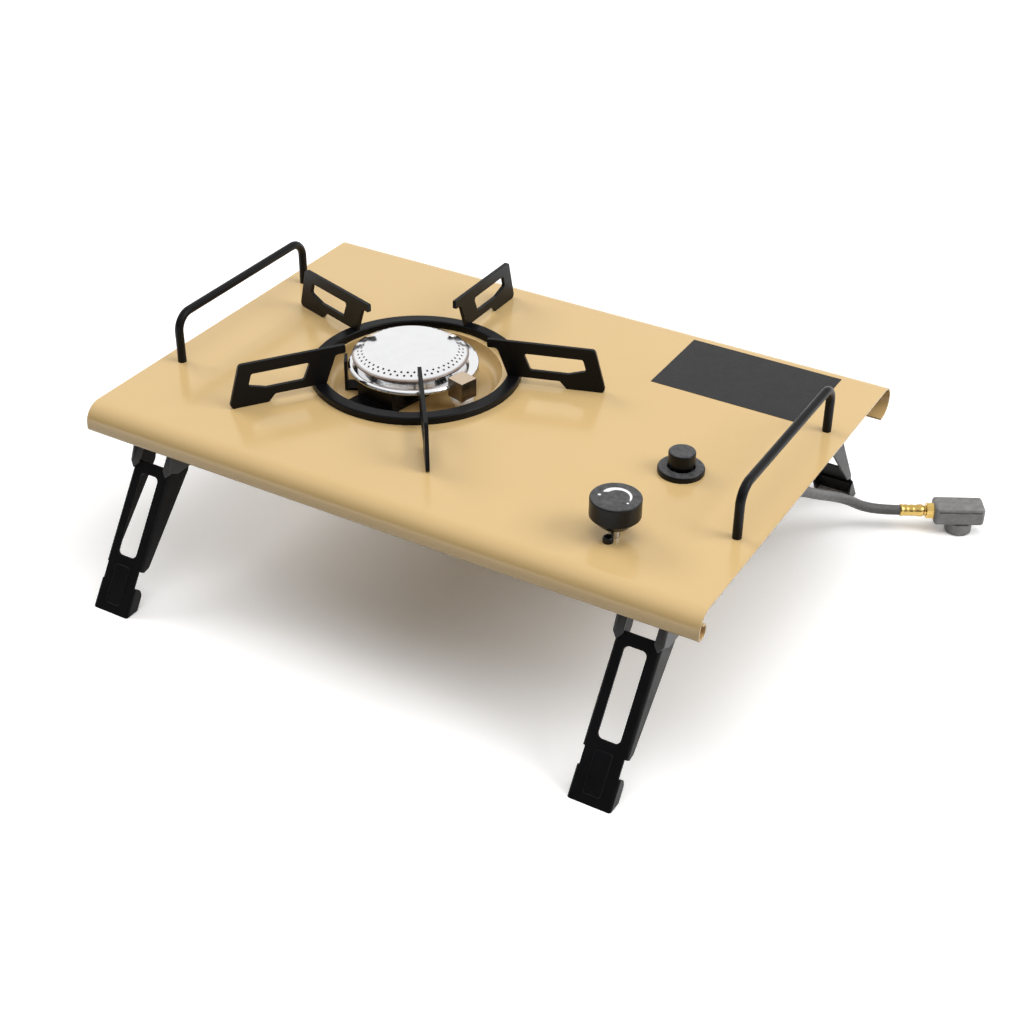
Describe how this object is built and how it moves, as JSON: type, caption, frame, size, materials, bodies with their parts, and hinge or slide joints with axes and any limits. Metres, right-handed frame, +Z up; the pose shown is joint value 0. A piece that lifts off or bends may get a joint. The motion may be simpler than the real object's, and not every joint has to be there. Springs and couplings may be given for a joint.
{
  "type": "portable gas stove",
  "caption": "Flat sheet-metal camping gas stove on folding legs, with a round burner, a lift-off pan support, rod handles, a gas knob, a push igniter and a hose with a canister regulator.",
  "frame": {"origin": "on the ground under the middle of the top plate", "axes": "+X to the right along the plate's long side, +Y to the back, +Z up"},
  "size_m": [0.5207, 0.4072, 0.1625],
  "materials": {
    "plate_paint": "satin powder coat, sand tan",
    "black_paint": "satin black powder coat on steel",
    "black_plastic": "moulded black",
    "black_screw": "black oxide",
    "label_grey": "matt printed film, blank",
    "polished_steel": "polished stainless",
    "plain_steel": "brushed stainless",
    "cast_alloy": "as cast and drawn",
    "regulator_grey": "matt grey die casting",
    "brass": "machined",
    "hose_rubber": "smooth grey rubber",
    "ceramic": "white ceramic",
    "dark_plastic": "moulded",
    "wire_insulation": "silicone insulation"
  },
  "bodies": {
    "stove": {"burner_bracket": "black_paint", "burner_cap": "polished_steel", "burner_pan": "polished_steel", "burner_screws": "plain_steel", "canister_collar": "regulator_grey", "electrode_cover": "plain_steel", "electrode_insulator": "ceramic", "gas_hose": "hose_rubber", "gas_injector": "brass", "gas_pipe": "cast_alloy", "handle_screws": "black_screw", "hose_ferrule": "brass", "hose_nut": "brass", "igniter_bezel": "black_plastic", "igniter_nut": "dark_plastic", "ignition_wire": "wire_insulation", "inlet_ferrule": "brass", "inlet_nut": "brass", "label_panel": "label_grey", "left_handle_bar": "black_paint", "leg_bracket_back_left": "black_paint", "leg_bracket_back_right": "black_paint", "leg_bracket_front_left": "black_paint", "leg_bracket_front_right": "black_paint", "leg_pin_back_left": "plain_steel", "leg_pin_back_right": "plain_steel", "leg_pin_front_left": "plain_steel", "leg_pin_front_right": "plain_steel", "mixing_tube": "plain_steel", "piezo_body": "dark_plastic", "regulator_body": "regulator_grey", "regulator_seal": "hose_rubber", "right_handle_bar": "black_paint", "spark_pin": "plain_steel", "top_plate": "plate_paint", "valve_body": "cast_alloy", "valve_screws": "black_screw"},
    "knob": {"control_knob": "black_plastic", "valve_spindle": "plain_steel"},
    "button": {"igniter_button": "black_plastic"},
    "trivet": {"trivet_ring": "black_paint", "trivet_arm_1": "black_paint", "trivet_arm_2": "black_paint", "trivet_arm_3": "black_paint", "trivet_arm_4": "black_paint", "trivet_arm_5": "black_paint"},
    "leg_front_left": {"leg_front_left": "black_paint"},
    "leg_front_right": {"leg_front_right": "black_paint"},
    "leg_back_left": {"leg_back_left": "black_paint"},
    "leg_back_right": {"leg_back_right": "black_paint"}
  },
  "joints": [
    {"name": "knob_turn", "type": "hinge", "parent": "stove", "child": "knob", "pos_m": [0.146, -0.107, 0.125], "axis": [0, 0, 1], "range_deg": [0, 150]},
    {"name": "button_press", "type": "slide", "parent": "stove", "child": "button", "axis": [0, 0, -1], "range_m": [0, 0.006], "stiffness_N_per_m": 900, "springref_m": -0.002},
    {"name": "trivet_lift", "type": "slide", "parent": "stove", "child": "trivet", "axis": [0, 0, 1], "range_m": [0, 0.06]},
    {"name": "leg_fold_front_left", "type": "hinge", "parent": "stove", "child": "leg_front_left", "pos_m": [-0.183, -0.128, 0.091], "axis": [1, 0, 0], "range_deg": [0, 124]},
    {"name": "leg_fold_front_right", "type": "hinge", "parent": "stove", "child": "leg_front_right", "pos_m": [0.183, -0.128, 0.091], "axis": [1, 0, 0], "range_deg": [0, 124]},
    {"name": "leg_fold_back_left", "type": "hinge", "parent": "stove", "child": "leg_back_left", "pos_m": [-0.183, 0.128, 0.091], "axis": [-1, 0, 0], "range_deg": [0, 124]},
    {"name": "leg_fold_back_right", "type": "hinge", "parent": "stove", "child": "leg_back_right", "pos_m": [0.183, 0.128, 0.091], "axis": [-1, 0, 0], "range_deg": [0, 124]}
  ]
}
